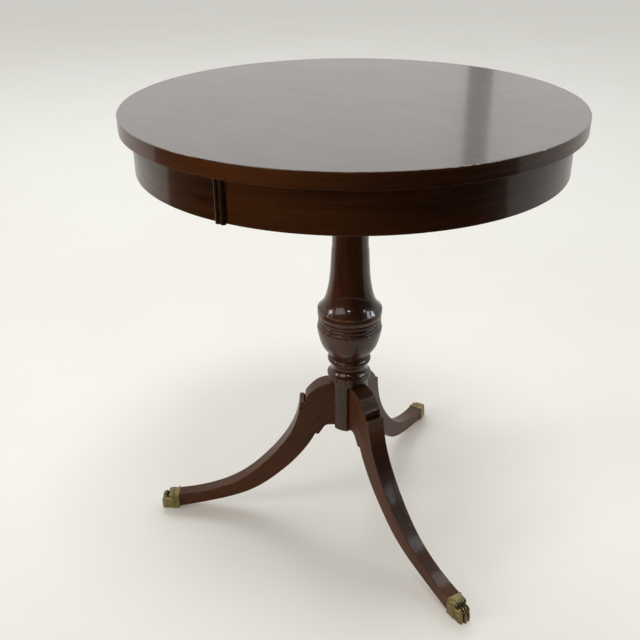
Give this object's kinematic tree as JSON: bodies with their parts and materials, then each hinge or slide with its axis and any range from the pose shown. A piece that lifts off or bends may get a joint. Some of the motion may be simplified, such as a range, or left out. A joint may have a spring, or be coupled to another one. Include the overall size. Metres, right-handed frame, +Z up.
{
  "type": "round pedestal table",
  "caption": "Round veneered table with a deep bent apron, a turned column and sabre legs dovetailed into its hub, ending in cast brass paw feet.",
  "frame": {"origin": "on the floor, under the axis of the pedestal and the centre of the round top", "axes": "+Z up along the column; the left leg points along -X, the other two legs point 60 degrees either side of +X"},
  "size_m": [0.6655, 0.66, 0.7225],
  "materials": {
    "mahogany_top": "gloss",
    "mahogany_edge": "gloss",
    "mahogany_apron": "gloss",
    "mahogany_turned": "gloss",
    "mahogany_leg": "gloss",
    "secondary_wood": "matte",
    "cast_brass": "satin",
    "plate_steel": "satin",
    "screw_steel": "satin"
  },
  "bodies": {
    "root": {"top_core": "secondary_wood", "top_edge_band": "mahogany_edge", "top_veneer": "mahogany_top", "apron_half_left": "mahogany_apron", "apron_half_right": "mahogany_apron", "seam_strip_front": "mahogany_apron", "seam_strip_back": "mahogany_apron", "splice_block_front": "secondary_wood", "splice_block_back": "secondary_wood", "glue_blocks": "secondary_wood", "bearer_main": "secondary_wood", "bearer_cross": "secondary_wood", "mounting_block": "secondary_wood", "column": "mahogany_turned", "tenon_wedge": "secondary_wood", "leg_left": "mahogany_leg", "leg_front": "mahogany_leg", "leg_back": "mahogany_leg", "paw_left": "cast_brass", "paw_front": "cast_brass", "paw_back": "cast_brass", "brace_plate": "plate_steel", "bearer_screws": "screw_steel", "block_screws": "screw_steel", "plate_screws": "screw_steel", "paw_screws": "cast_brass"}
  },
  "joints": []
}
